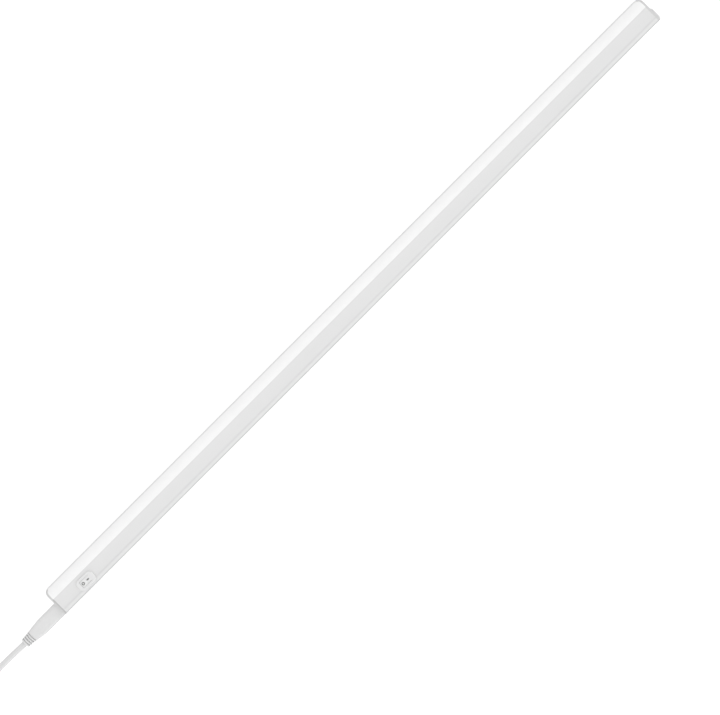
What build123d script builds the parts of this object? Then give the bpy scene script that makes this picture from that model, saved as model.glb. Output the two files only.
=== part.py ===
from build123d import *
import math
import os

# Linkable LED light tube: a slim white channel with an opal half-round cover, a rocker
# switch on one side, a plug-in mains lead at one end and a capped outlet at the other.
# Millimetres. +X runs along the lamp from the lead to the outlet, -Y is the switch side,
# +Z points from the mounting face to the top of the cover. The origin is the middle of
# the mounting face.

# Driving dimensions
LENGTH = 873.0
WIDTH = 22.0
CHANNEL_HEIGHT = 20.0
STRAIGHT_COVER = 1.6
WALL = 1.5
BASE = 1.6
BASE_ROUND = 0.8
COVER_WALL = 1.2
END_PLATE = 2.6
AXIS_Z = 8.2
CORD_D = 6.2
SLIDE_GAP = 0.15

# Worked out from them
HALF = WIDTH / 2
DOME_Z = CHANNEL_HEIGHT + STRAIGHT_COVER
END_X = LENGTH / 2
BODY_X = END_X - END_PLATE
INNER = HALF - WALL

# Inside the channel
LEDGE_TOP, LEDGE_THICK, LEDGE_REACH = 16.0, 1.2, 1.9
SNAP_Z, SNAP_HEIGHT, SNAP_DEPTH, SNAP_GAP = 17.4, 1.2, 0.5, 0.1
CLIP_Z, CLIP_HEIGHT, CLIP_DEPTH = 5.0, 0.6, 0.35
PORT_Y, PORT_Z, PORT_R, PORT_HOLE_R, PORT_CLEAR = 8.0, 12.4, 1.8, 0.9, 1.0
RAIL_Y, RAIL_WIDTH, RAIL_TOP = 5.4, 1.0, 3.4

# Circuit boards and lighting
LED_BOARD_HALF, LED_BOARD_Y, BOARD_THICK = 428.0, 9.3, 1.0
LED_COUNT, LED_SIZE, LED_WINDOW_R, LED_WINDOW_DEEP = 72, (3.5, 2.8, 0.7), 1.1, 0.25
LED_PITCH = 2 * (LED_BOARD_HALF - 8.0) / (LED_COUNT - 1)
DRIVER_X, DRIVER_LENGTH, DRIVER_Y, DRIVER_THICK = -372.0, 112.0, 6.9, 1.2
DRIVER_TOP = RAIL_TOP + DRIVER_THICK
LED_WIRE_X, LED_WIRE_Y, LED_WIRE_R, LED_WIRE_HOLE_R = -250.0, 3.0, 0.7, 1.0
LED_WIRE_INSET, LED_WIRE_LIFT, LED_WIRE_END = 1.2, 4.4, 0.6

# Driver board fixings: two posts between the channel's floor and the board
POST_Y, POST_R, POST_HOLE_R, POST_HOLE_DEEP, POST_INSET = RAIL_Y - 1.2, 1.2, 0.7, 2.4, 4.0
HEAD_R, HEAD_HIGH, SHANK_LENGTH, SLOT_SIZE = 1.7, 1.0, 2.0, (2.6, 0.5, 0.4)

# Parts on the driver board; *_AT is the distance from the board's inlet end
FUSE_AT, FUSE_R, FUSE_LENGTH, FUSE_LEAD_R, FUSE_SPAN, FUSE_LIFT = 13.0, 1.5, 7.0, 0.3, 10.0, 1.6
FILM_AT, FILM_SIZE, FILM_ROUND = 21.0, (10.0, 5.0, 9.0), 0.6
BRIDGE_AT, BRIDGE_SIZE, BRIDGE_LIFT = 30.5, (4.7, 4.0, 2.4), 0.2
BRIDGE_LEG, BRIDGE_LEG_X, BRIDGE_LEG_Y = (0.6, 1.0, 0.8), 1.3, 2.5
BULK_AT, BULK_R, BULK_LENGTH = 44.0, 4.5, 18.0
OUTPUT_AT, OUTPUT_R, OUTPUT_LENGTH = 97.0, 4.0, 12.0
CAN_GROOVE_WIDE, CAN_GROOVE_DEEP, CAN_GROOVE_FROM_END = 1.2, 0.35, 2.2
CHIP_AT, CHIP_Y, CHIP_SIZE, CHIP_LIFT = 56.5, -4.0, (4.9, 3.9, 1.5), 0.25
CHIP_LEG, CHIP_LEG_PITCH, CHIP_LEG_Y = (0.42, 0.9, 0.7), 1.27, 2.4
DRUM_AT, DRUM_R, DRUM_FLANGE, DRUM_CORE_R, DRUM_COIL_R, DRUM_COIL = 64.0, 4.6, 1.4, 2.2, 4.2, 5.2
FERRITE_AT, FERRITE_SIZE, FERRITE_LIMB = 79.0, (14.0, 4.0, 9.2), (2.0, 1.8)
BOBBIN_SIZE, BOBBIN_FLANGE = (8.8, 11.0, 4.6), (9.8, 0.8, 5.4)
RESISTOR_AT, RESISTOR_Y, RESISTOR_PITCH, RESISTOR_SIZE = 86.0, 6.0, 3.0, (2.0, 1.25, 0.5)

# Wires
MAINS_WIRE_R, THIN_WIRE_R = 0.8, 0.7
THROUGH_Y, THROUGH_Z, THROUGH_STUB, THROUGH_DROP = 8.3, 2.7, 3.0, 7.5
PIN_WIRE_X = 1.5
FEED_RUN, FEED_Y, FEED_Z, FEED_BACK = 6.0, 4.8, 12.6, 3.0
LOAD_Y, LOAD_LAND_X, LOAD_LAND_Y, LOAD_BACK = 4.0, 3.0, 0.5, 6.0
NEUTRAL_Y, NEUTRAL_Z, NEUTRAL_RISE_Z = -3.5, 2.5, 7.5
NEUTRAL_LAND_X, NEUTRAL_LAND_Y, NEUTRAL_BACK = 4.0, -4.2, 7.0

# Rocker switch in the -Y side
SWITCH_X, SWITCH_Z = -396.5, 9.6
BEZEL_SIZE, BEZEL_OPENING, BEZEL_THICK = (22.0, 12.8), (14.2, 7.2), 1.8
BEZEL_ROUND, BEZEL_EDGE, ROCKER_GAP = 5.0, 0.9, 0.15
BODY_SIZE, BODY_DEEP, BODY_WALL = (15.2, 9.2), 11.5, 1.0
ROCKER_HEIGHT, ROCKER_R, ROCKER_TILT = 6.8, 6.95, 8.9
ROCKER_VALLEY, ROCKER_TOP_ANGLE, ROCKER_FOOT_ANGLE = 2.6, 30.6, -15.0
PIVOT_Y, PIVOT_R, PIVOT_GAP = -9.9, 0.75, 0.05
TERMINAL_X, TERMINAL_Z, TERMINAL_SIZE = 3.0, 10.4, (0.8, 4.8, 4.8)

# Sockets and the connector on the lead
BLOCK_SIZE, BLOCK_ROUND, BLOCK_LENGTH = (12.4, 12.0), 2.5, 22.0
CAVITY_SIZE, CAVITY_ROUND = (9.8, 9.2), 1.2
INLET_DEPTH, OUTLET_DEPTH = 16.5, 9.0
PIN_Y, PIN_R, PIN_LENGTH, TAIL_LENGTH = 2.4, 1.15, 13.0, 3.0
SLEEVE_R, SLEEVE_BORE_R, SLEEVE_LENGTH = 1.6, 1.2, 13.5
CONNECTOR_GAP = 0.2
GRIP_SIZE, GRIP_ROUND, GRIP_LENGTH = (14.0, 16.0), 3.4, 26.8
TAPER_SIZE, TAPER_ROUND, TAPER_LENGTH = (11.6, 12.8), 3.6, 14.5
BOOT_R0, BOOT_R1, BOOT_CORE_R, BOOT_RINGS = 6.1, 5.5, 4.4, 4
BOOT_LENGTH = 11.2
CAP_SIZE, CAP_ROUND, CAP_THICK, CAP_SPIGOT = (12.6, 13.5), 3.0, 2.4, 3.0

# End caps and their screws
RIM_LENGTH = 5.0
CAP_DOME, CAP_DOME_WALL, CAP_DOME_ROUND = 5.6, 2.2, 5.0
SCREW_HEAD_R, SCREW_HEAD_DEEP, SCREW_SHANK_R, SCREW_LENGTH = 1.9, 1.1, 0.88, 9.0

# The lead: where it leaves the boot, and the tied hank that stores the rest of it
GRIP_X = END_X + CONNECTOR_GAP
BOOT_X = GRIP_X + GRIP_LENGTH + TAPER_LENGTH
CORD_X = BOOT_X + BOOT_LENGTH
CORD_LENGTH = 1500.0
FOLD_R = 3 * CORD_D
HANK_STRAIGHT = 68.0
HANK_LANES, HANK_LAYERS = 2, 3
HANK_X, HANK_Y = -619.9, 13.4
TIE_WIDTH, TIE_THICK = 14.0, 0.8
HANK_FLOOR = TIE_THICK
HANK_TOP = HANK_FLOOR + HANK_LAYERS * CORD_D
LANE_Y = HANK_Y - FOLD_R - CORD_D
HANK_NEAR_X = HANK_X + HANK_STRAIGHT / 2
CORD_ROUTE = [
    (-CORD_X, 0.0, AXIS_Z),
    (-507.0, -0.2, 8.8),
    (-528.0, -1.6, 9.1),
    (-549.0, -5.4, 6.9),
    (-569.0, -9.4, 4.6),
    (HANK_NEAR_X, LANE_Y, HANK_FLOOR + CORD_D / 2),
]
TAIL_ROUTE = [
    (HANK_NEAR_X, LANE_Y, HANK_TOP - CORD_D / 2),
    (-597.0, -10.9, 17.2),
    (-608.0, -9.0, 20.4),
    (-619.0, -6.0, 24.0),
    (-630.0, -3.6, 26.1),
    (-640.0, -3.0, 26.6),
]

# Two-pin mains plug lying on the hank
PLUG_THICK, PLUG_WIDTH, PLUG_NECK, PLUG_LENGTH = 13.8, 26.0, 13.0, 35.0
PLUG_PIN_R, PLUG_PIN_LENGTH, PLUG_PIN_SPACING = 2.0, 19.0, 18.6
PLUG_BOOT_LENGTH, PLUG_BOOT_R0, PLUG_BOOT_R1, PLUG_BOOT_RINGS = 16.0, 6.2, 4.4, 4


def block(x, y, z):
    """Box given by its lowest and highest coordinate on each axis."""
    size = [high - low for low, high in (x, y, z)]
    middle = [(low + high) / 2 for low, high in (x, y, z)]
    return Pos(*middle) * Box(*size)


def along_x(face, x0, x1):
    """Profile drawn in Y and Z, drawn out from x0 to x1."""
    return extrude(Plane.YZ.offset(x0) * face, amount=x1 - x0)


def strip(y, z):
    """Rectangle of a profile, by its lowest and highest y and z."""
    return Pos((y[0] + y[1]) / 2, (z[0] + z[1]) / 2) * Rectangle(y[1] - y[0], z[1] - z[0])


def rounded(size, radius, z=AXIS_Z):
    """Rounded rectangle of a profile, centred on the lamp's middle plane."""
    return Pos(0, z) * RectangleRounded(*size, radius)


def both_sides(shape):
    """The profile's shape and its mirror image in the lamp's middle plane."""
    return shape + mirror(shape, Plane.YZ)


def at_end(side, x0, x1):
    """Range of x at one end of the lamp, from distances out from the middle."""
    return tuple(sorted((side * x0, side * x1)))


def cylinder_x(radius, x, y, z):
    """Cylinder along X between two values of x."""
    return along_x(Pos(y, z) * Circle(radius), *x)


def lamp_outline():
    """Outer profile: flat base, straight sides and a half-round top."""
    sides = Polyline((HALF, DOME_Z), (HALF, 0), (-HALF, 0), (-HALF, DOME_Z))
    top = ThreePointArc((-HALF, DOME_Z), (0, DOME_Z + HALF), (HALF, DOME_Z))
    face = make_face(sides + top)
    return fillet(face.vertices().group_by(Axis.Y)[0], BASE_ROUND)


def channel_profile():
    """Section of the extruded channel: base, clip grooves, board ledges, screw ports and rails."""
    face = lamp_outline() & strip((-HALF, HALF), (0, CHANNEL_HEIGHT))
    face -= strip((-INNER, INNER), (BASE, CHANNEL_HEIGHT))
    face += both_sides(strip((INNER - LEDGE_REACH, INNER), (LEDGE_TOP - LEDGE_THICK, LEDGE_TOP)))
    face += both_sides(strip((RAIL_Y, RAIL_Y + RAIL_WIDTH), (BASE, RAIL_TOP)))
    port = Pos(PORT_Y, PORT_Z) * Circle(PORT_R) & strip((0, INNER), (0, CHANNEL_HEIGHT))
    face += both_sides(port)
    face -= both_sides(Pos(PORT_Y, PORT_Z) * Circle(PORT_HOLE_R))
    face -= both_sides(strip((INNER, INNER + SNAP_DEPTH), (SNAP_Z, SNAP_Z + SNAP_HEIGHT)))
    return face - both_sides(strip((HALF - CLIP_DEPTH, HALF), (CLIP_Z, CLIP_Z + CLIP_HEIGHT)))


def channel_base():
    """Floor of the channel with its two driver rails, which stop short of the sockets."""
    room = strip((-HALF, HALF), (0, BASE)) + strip((-INNER, INNER), (BASE, RAIL_TOP))
    base = along_x(channel_profile() & room, -BODY_X, BODY_X)
    rail = RAIL_Y + RAIL_WIDTH
    for side in (-1, 1):
        base -= block(at_end(side, BODY_X - BLOCK_LENGTH, BODY_X), (-rail, rail), (BASE, RAIL_TOP))
    return base


def channel_wall(side):
    """One side of the channel, standing on its floor, on the -Y or the +Y side."""
    room = strip(sorted((0, side * HALF)), (BASE, CHANNEL_HEIGHT))
    room -= strip(sorted((0, side * INNER)), (BASE, RAIL_TOP))
    return along_x(channel_profile() & room, -BODY_X, BODY_X)


def switch_wall():
    """The channel's -Y side, cut out for the switch."""
    wall = channel_wall(-1)
    half_x, half_z = BODY_SIZE[0] / 2, BODY_SIZE[1] / 2
    switch_x = (SWITCH_X - half_x, SWITCH_X + half_x)
    wall -= block(switch_x, (-HALF, -INNER), (SWITCH_Z - half_z, SWITCH_Z + half_z))
    milled_x = (SWITCH_X - half_x - PORT_CLEAR, SWITCH_X + half_x + PORT_CLEAR)
    return wall - block(milled_x, (-INNER, 0), (PORT_Z - PORT_R, PORT_Z + PORT_R))


def cover():
    """Opal cover: half-round shell whose two legs snap into the channel's grooves."""
    shell = lamp_outline() & strip((-HALF, HALF), (CHANNEL_HEIGHT, DOME_Z + HALF))
    inner = HALF - COVER_WALL
    shell -= Pos(0, DOME_Z) * Circle(inner)
    shell -= strip((-inner, inner), (CHANNEL_HEIGHT, DOME_Z))
    leg_y = (INNER - SNAP_GAP - COVER_WALL, INNER - SNAP_GAP)
    shoulder_z = (CHANNEL_HEIGHT, CHANNEL_HEIGHT + COVER_WALL)
    shell += both_sides(strip((leg_y[0], HALF - SNAP_GAP), shoulder_z))
    shell += both_sides(strip(leg_y, (LEDGE_TOP + BOARD_THICK + SNAP_GAP, shoulder_z[1])))
    hook_z = (SNAP_Z + SNAP_GAP, SNAP_Z + SNAP_HEIGHT - SNAP_GAP)
    shell += both_sides(strip((leg_y[1], INNER + SNAP_DEPTH - SNAP_GAP), hook_z))
    return along_x(shell, CAP_DOME - END_X, END_X - CAP_DOME)


def led_board():
    """Aluminium-core strip that lies on the channel's ledges."""
    reach = (-LED_BOARD_HALF, LED_BOARD_HALF)
    board = block(reach, (-LED_BOARD_Y, LED_BOARD_Y), (LEDGE_TOP, LEDGE_TOP + BOARD_THICK))
    for y in (-LED_WIRE_Y, LED_WIRE_Y):
        hole = Cylinder(LED_WIRE_HOLE_R, 4 * BOARD_THICK)
        board -= Pos(LED_WIRE_X, y, LEDGE_TOP) * hole
    return board


def led_places():
    """Where each LED package stands on the board."""
    first = -LED_PITCH * (LED_COUNT - 1) / 2
    z = LEDGE_TOP + BOARD_THICK + LED_SIZE[2] / 2
    return [Pos(first + n * LED_PITCH, 0, z) for n in range(LED_COUNT)]


def led_package():
    """White LED package with a round window in its top."""
    window = Pos(0, 0, (LED_SIZE[2] - LED_WINDOW_DEEP) / 2) * Cylinder(LED_WINDOW_R, LED_WINDOW_DEEP)
    return Box(*LED_SIZE) - window, window


def driver_board():
    """Power supply board, resting on the two rails."""
    x = (DRIVER_X, DRIVER_X + DRIVER_LENGTH)
    board = block(x, (-DRIVER_Y, DRIVER_Y), (RAIL_TOP, DRIVER_TOP))
    for screw_x in driver_screw_places():
        board -= Pos(screw_x, POST_Y, RAIL_TOP) * Cylinder(POST_R, 4 * DRIVER_THICK)
    return board


def driver_screw_places():
    """Where the two screws hold the driver board down."""
    return DRIVER_X + POST_INSET, DRIVER_X + DRIVER_LENGTH - POST_INSET


def driver_posts():
    """Two short posts that the driver board's screws bite into."""
    posts = []
    for x in driver_screw_places():
        post = Pos(x, POST_Y, (BASE + RAIL_TOP) / 2) * Cylinder(POST_R, RAIL_TOP - BASE)
        posts.append(post - Pos(x, POST_Y, RAIL_TOP) * Cylinder(POST_HOLE_R, POST_HOLE_DEEP))
    return posts


def driver_screws():
    """Pan-head screws through the driver board."""
    screws = []
    for x in driver_screw_places():
        head = Pos(x, POST_Y, DRIVER_TOP + HEAD_HIGH / 2) * Cylinder(HEAD_R, HEAD_HIGH)
        head -= Pos(x, POST_Y, DRIVER_TOP + 0.9 * HEAD_HIGH) * Box(*SLOT_SIZE)
        shank = Pos(x, POST_Y, DRIVER_TOP - SHANK_LENGTH / 2) * Cylinder(POST_HOLE_R, SHANK_LENGTH)
        screws.append(head + shank)
    return screws


def on_driver(x, y=0.0, lift=0.0):
    """A place on top of the driver board, measured from its inlet end."""
    return Pos(DRIVER_X + x, y, DRIVER_TOP + lift)


def standing(size, lift=0.0):
    """Box that stands on the driver board, or above it by the lift."""
    return Pos(0, 0, lift + size[2] / 2) * Box(*size)


def lying_can(radius, length):
    """Electrolytic capacitor lying on its side, with its rubber bung groove."""
    can = Rot(0, 90, 0) * Cylinder(radius, length)
    ring = Cylinder(radius, CAN_GROOVE_WIDE) - Cylinder(radius - CAN_GROOVE_DEEP, CAN_GROOVE_WIDE)
    groove = Pos(length / 2 - CAN_GROOVE_FROM_END, 0, 0) * Rot(0, 90, 0) * ring
    return Pos(0, 0, radius) * (can - groove)


def bulk_capacitor():
    """High-voltage reservoir capacitor."""
    return on_driver(BULK_AT) * lying_can(BULK_R, BULK_LENGTH)


def output_capacitor():
    """Low-voltage output capacitor."""
    return on_driver(OUTPUT_AT) * lying_can(OUTPUT_R, OUTPUT_LENGTH)


def film_capacitor():
    """Box-shaped suppression capacitor."""
    body = standing(FILM_SIZE)
    return on_driver(FILM_AT) * fillet(body.edges().filter_by(Axis.Z), FILM_ROUND)


def inductor():
    """Drum-core inductor: two flanges with the winding between them."""
    drum_height = DRUM_COIL + 2 * DRUM_FLANGE
    waist = Pos(0, 0, drum_height / 2) * Cylinder(DRUM_R, DRUM_COIL)
    solid = Pos(0, 0, drum_height / 2) * Cylinder(DRUM_R, drum_height)
    rod = Pos(0, 0, drum_height / 2) * Cylinder(DRUM_CORE_R, DRUM_COIL)
    winding = Pos(0, 0, drum_height / 2) * Cylinder(DRUM_COIL_R, DRUM_COIL) - rod
    return on_driver(DRUM_AT) * (solid - waist + rod), on_driver(DRUM_AT) * winding


def transformer():
    """Flyback transformer: ferrite frame round a wound bobbin."""
    length, deep, high = FERRITE_SIZE
    middle = Pos(0, 0, high / 2)
    window = Box(length - 2 * FERRITE_LIMB[0], deep, high - 2 * FERRITE_LIMB[1])
    frame = middle * (Box(*FERRITE_SIZE) - window)
    bobbin = middle * Box(*BOBBIN_SIZE)
    flange_y = (BOBBIN_SIZE[1] - BOBBIN_FLANGE[1]) / 2
    for y in (-flange_y, flange_y):
        bobbin += middle * Pos(0, y, 0) * Box(*BOBBIN_FLANGE)
    return on_driver(FERRITE_AT) * frame, on_driver(FERRITE_AT) * bobbin


def bridge_rectifier():
    """Four-legged rectifier block."""
    body = standing(BRIDGE_SIZE, BRIDGE_LIFT)
    for x in (-BRIDGE_LEG_X, BRIDGE_LEG_X):
        for y in (-BRIDGE_LEG_Y, BRIDGE_LEG_Y):
            body += Pos(x, y, 0) * standing(BRIDGE_LEG)
    return on_driver(BRIDGE_AT) * body


def driver_chip():
    """Eight-legged control chip."""
    body = standing(CHIP_SIZE, CHIP_LIFT)
    for n in range(4):
        for y in (-CHIP_LEG_Y, CHIP_LEG_Y):
            body += Pos((n - 1.5) * CHIP_LEG_PITCH, y, 0) * standing(CHIP_LEG)
    return on_driver(CHIP_AT, CHIP_Y) * Rot(0, 0, 90) * body


def fuse_resistor():
    """Axial fuse resistor lying across the board."""
    lying = Pos(0, 0, FUSE_LIFT) * Rot(90, 0, 0)
    body = lying * (Cylinder(FUSE_R, FUSE_LENGTH) + Cylinder(FUSE_LEAD_R, FUSE_SPAN))
    for y in (-FUSE_SPAN / 2, FUSE_SPAN / 2):
        body += Pos(0, y, FUSE_LIFT / 2) * Cylinder(FUSE_LEAD_R, FUSE_LIFT)
    return on_driver(FUSE_AT) * body


def chip_resistors():
    """Small surface-mounted resistors in two rows beside the transformer."""
    places = [(n * RESISTOR_PITCH, side * RESISTOR_Y) for n in range(2) for side in (-1, 1)]
    return [on_driver(RESISTOR_AT + x, y) * standing(RESISTOR_SIZE) for x, y in places]


def outline_rocker():
    """Rocker seen from above about its pivot: two facets that meet in a shallow valley."""

    def on_end(angle):
        return ROCKER_R * math.cos(math.radians(angle)), ROCKER_R * math.sin(math.radians(angle))

    (tx, ty), (fx, fy) = on_end(ROCKER_TOP_ANGLE), on_end(ROCKER_FOOT_ANGLE)
    front = Polyline((-tx, ty), (0, ROCKER_VALLEY), (tx, ty))
    right = ThreePointArc((tx, ty), (ROCKER_R, 0), (fx, fy))
    foot = Polyline((fx, fy), (-fx, fy))
    left = ThreePointArc((-fx, fy), (-ROCKER_R, 0), (-tx, ty))
    return make_face(front + right + foot + left)


def rocker():
    """Rocker with its right half pressed in, bored for the pivot pin."""
    plan = outline_rocker() - Circle(PIVOT_R + PIVOT_GAP)
    body = Pos(0, 0, -ROCKER_HEIGHT / 2) * extrude(plan, amount=ROCKER_HEIGHT)
    turned = Rot(0, 0, ROCKER_TILT) * mirror(body, Plane.XZ)
    return Pos(SWITCH_X, PIVOT_Y, SWITCH_Z) * turned


def in_side(size, radius, y):
    """Rounded plate in the -Y side, centred on the switch, between two values of y."""
    face = RectangleRounded(*size, radius)
    plate = extrude(Plane.XZ * face, amount=y[1] - y[0])
    return Pos(SWITCH_X, y[1], SWITCH_Z) * plate


def switch_bezel():
    """Raised frame with a softened front edge, open just as far as the rocker swings."""
    front = -HALF - BEZEL_THICK
    plate = in_side(BEZEL_SIZE, BEZEL_ROUND, (front, -HALF))
    plate = fillet(plate.faces().sort_by(Axis.Y)[0].edges(), BEZEL_EDGE)
    sweep_room = Pos(SWITCH_X, PIVOT_Y, SWITCH_Z) * Cylinder(ROCKER_R + ROCKER_GAP, BEZEL_SIZE[1])
    return plate - (in_side(BEZEL_OPENING, 0.8, (front, -HALF)) & sweep_room)


def switch_body():
    """Open-fronted box behind the bezel, with bearings for the pivot pin."""
    size = (BODY_SIZE[0], BODY_SIZE[1])
    back = -HALF + BODY_DEEP
    outer = in_side(size, 0.3, (-HALF, back))
    room = (BEZEL_OPENING[0], size[1] - 2 * BODY_WALL)
    body = outer - in_side(room, 0.2, (-HALF, back - 2 * BODY_WALL))
    pin = Cylinder(PIVOT_R, size[1])
    return body - Pos(SWITCH_X, PIVOT_Y, SWITCH_Z) * pin


def rocker_pin():
    """Steel pin that the rocker turns on."""
    return Pos(SWITCH_X, PIVOT_Y, SWITCH_Z) * Cylinder(PIVOT_R, BODY_SIZE[1])


def switch_terminals():
    """Two blades standing out of the back of the switch."""
    back = -HALF + BODY_DEEP
    blade = Box(*TERMINAL_SIZE) - Pos(0, 1.2, 0) * Rot(0, 90, 0) * Cylinder(0.7, 2.0)
    y = back + TERMINAL_SIZE[1] / 2
    return [Pos(SWITCH_X + x, y, TERMINAL_Z) * blade for x in (-TERMINAL_X, TERMINAL_X)]


def end_cap(side):
    """End plate with a socket window and screw holes, and a rounded hood that meets the cover."""
    plate = along_x(lamp_outline(), *at_end(side, BODY_X, END_X))
    plate -= along_x(rounded(BLOCK_SIZE, BLOCK_ROUND), *at_end(side, BODY_X, END_X))
    hood = lamp_outline() & strip((-HALF, HALF), (CHANNEL_HEIGHT, DOME_Z + HALF))
    room_r = HALF - CAP_DOME_WALL
    hood -= Pos(0, DOME_Z) * Circle(room_r) + strip((-room_r, room_r), (CHANNEL_HEIGHT, DOME_Z))
    rim_r = HALF - COVER_WALL - SLIDE_GAP
    rim = Pos(0, DOME_Z) * (Circle(rim_r) - Circle(rim_r - COVER_WALL))
    rim &= strip((-HALF, HALF), (DOME_Z + 2 * COVER_WALL, DOME_Z + HALF))
    cap = plate + along_x(hood, *at_end(side, END_X - CAP_DOME, BODY_X))
    cap += along_x(rim, *at_end(side, END_X - CAP_DOME - RIM_LENGTH, BODY_X))
    cap -= hood_corner(side)
    for y in (-PORT_Y, PORT_Y):
        cap -= cylinder_x(SCREW_SHANK_R, at_end(side, BODY_X, END_X), y, PORT_Z)
        cap -= screw_head(side, y)
    return cap


def hood_corner(side):
    """What is cut away to round the hood's top corner, as seen from the side."""
    x, z = END_X - CAP_DOME_ROUND, DOME_Z + HALF - CAP_DOME_ROUND
    corner = block(at_end(side, x, END_X), (-HALF, HALF), (z, DOME_Z + HALF))
    return corner - Pos(side * x, 0, z) * Rot(90, 0, 0) * Cylinder(CAP_DOME_ROUND, 2 * WIDTH)


def screw_head(side, y):
    """Countersunk head, flush with the end plate."""
    cone = Cone(SCREW_SHANK_R, SCREW_HEAD_R, SCREW_HEAD_DEEP)
    place = Pos(side * (END_X - SCREW_HEAD_DEEP / 2), y, PORT_Z)
    return place * Rot(0, side * 90, 0) * cone


def end_screws():
    """Four self-tapping screws that hold the end caps to the channel's screw ports."""
    screws = []
    for side in (-1, 1):
        for y in (-PORT_Y, PORT_Y):
            reach = at_end(side, END_X - SCREW_LENGTH, END_X - SCREW_HEAD_DEEP)
            screw = screw_head(side, y) + cylinder_x(SCREW_SHANK_R, reach, y, PORT_Z)
            slot_x = at_end(side, END_X - 0.5, END_X)
            screw -= block(slot_x, (y - 1.3, y + 1.3), (PORT_Z - 0.25, PORT_Z + 0.25))
            screw -= block(slot_x, (y - 0.25, y + 0.25), (PORT_Z - 1.3, PORT_Z + 1.3))
            screws.append(screw)
    return screws


def socket(side, depth):
    """Moulded block in the end cap's window, hollow to the given depth."""
    body = along_x(rounded(BLOCK_SIZE, BLOCK_ROUND), *at_end(side, END_X - BLOCK_LENGTH, END_X))
    return body - along_x(rounded(CAVITY_SIZE, CAVITY_ROUND), *at_end(side, END_X - depth, END_X))


def inlet_socket():
    """Inlet block with holes for its two pins."""
    body = socket(-1, INLET_DEPTH)
    for y in (-PIN_Y, PIN_Y):
        body -= cylinder_x(PIN_R, (-END_X, -END_X + BLOCK_LENGTH), y, AXIS_Z)
    return body


def inlet_pins():
    """Two round pins inside the inlet, with solder tails behind the block."""
    start = -END_X + INLET_DEPTH - PIN_LENGTH
    reach = (start, -END_X + BLOCK_LENGTH + TAIL_LENGTH)
    return [cylinder_x(PIN_R, reach, y, AXIS_Z) for y in (-PIN_Y, PIN_Y)]


def outlet_socket():
    """Outlet block with two bores that hold the spring sleeves."""
    body = socket(1, OUTLET_DEPTH)
    for y in (-PIN_Y, PIN_Y):
        body -= cylinder_x(SLEEVE_R, (END_X - BLOCK_LENGTH, END_X), y, AXIS_Z)
    return body


def outlet_contacts():
    """Two sleeves that take the pins of the next lamp's lead."""
    near, far = END_X - OUTLET_DEPTH - 0.6, END_X - BLOCK_LENGTH - TAIL_LENGTH
    return [sleeve((near, far), y) for y in (-PIN_Y, PIN_Y)]


def sleeve(ends, y):
    """Tube contact, open at the first end and closed by its tail at the second."""
    mouth, tail = ends
    direction = math.copysign(1, tail - mouth)
    body = cylinder_x(SLEEVE_R, sorted((mouth, tail)), y, AXIS_Z)
    bore = sorted((mouth, mouth + direction * (SLEEVE_LENGTH - 1.2)))
    return body - cylinder_x(SLEEVE_BORE_R, bore, y, AXIS_Z)


def outlet_cap():
    """Push-in blanking cap over the unused outlet."""
    plate = along_x(rounded(CAP_SIZE, CAP_ROUND), END_X + 0.1, END_X + CAP_THICK)
    plate = fillet(plate.faces().sort_by(Axis.X)[-1].edges(), 0.5)
    fit = [size - 2 * SLIDE_GAP for size in CAVITY_SIZE]
    spigot = rounded(fit, CAVITY_ROUND) - rounded([size - 2.4 for size in fit], 0.6)
    return plate + along_x(spigot, END_X - CAP_SPIGOT, END_X + 0.1)


def connector_body():
    """Grip and nose of the lead's connector."""
    fit = [size - 2 * SLIDE_GAP for size in CAVITY_SIZE]
    nose_x = (-GRIP_X, -END_X + INLET_DEPTH - 0.5)
    body = along_x(rounded(fit, CAVITY_ROUND), *nose_x)
    for y in (-PIN_Y, PIN_Y):
        body -= cylinder_x(SLEEVE_R, (-GRIP_X, nose_x[1]), y, AXIS_Z)
    grip = along_x(rounded(GRIP_SIZE, GRIP_ROUND), -GRIP_X - GRIP_LENGTH, -GRIP_X)
    wide = Plane.YZ.offset(-GRIP_X - GRIP_LENGTH) * rounded(GRIP_SIZE, GRIP_ROUND)
    narrow = Plane.YZ.offset(-BOOT_X) * rounded(TAPER_SIZE, TAPER_ROUND)
    grip = fillet(grip.faces().sort_by(Axis.X)[-1].edges(), 0.6)
    return body + grip + loft([wide, narrow])


def connector_contacts():
    """Sleeves in the connector's nose that slide over the inlet's pins."""
    ends = (-END_X + INLET_DEPTH - 0.8, -GRIP_X)
    return [sleeve(ends, y) for y in (-PIN_Y, PIN_Y)]


def ringed_boot(length, r0, r1, core, rings):
    """Flexible boot: rings that get smaller along a slimmer core, drawn along +X."""
    pitch = length / rings
    body = Cone(core, CORD_D / 2 + 0.4, length, align=(Align.CENTER, Align.CENTER, Align.MIN))
    for n in range(rings):
        radius = r0 + (r1 - r0) * n / (rings - 1)
        ring = Cylinder(radius, 0.62 * pitch, align=(Align.CENTER, Align.CENTER, Align.MIN))
        ring = fillet(ring.edges(), 0.2 * pitch)
        body += Pos(0, 0, (n + 0.38) * pitch) * ring
    return Rot(0, 90, 0) * body


def strain_relief():
    """Boot on the connector, where the cord leaves it."""
    boot = ringed_boot(BOOT_LENGTH, BOOT_R0, BOOT_R1, BOOT_CORE_R, BOOT_RINGS)
    return Pos(-BOOT_X, 0, AXIS_Z) * Rot(0, 0, 180) * boot


def wire(points, radius, bend=1.6):
    """Round wire along straight runs joined by small bends."""
    path = FilletPolyline(*points, radius=bend)
    start = Plane(origin=path @ 0, z_dir=path % 0)
    return sweep(start * Circle(radius), path=path)


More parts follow.
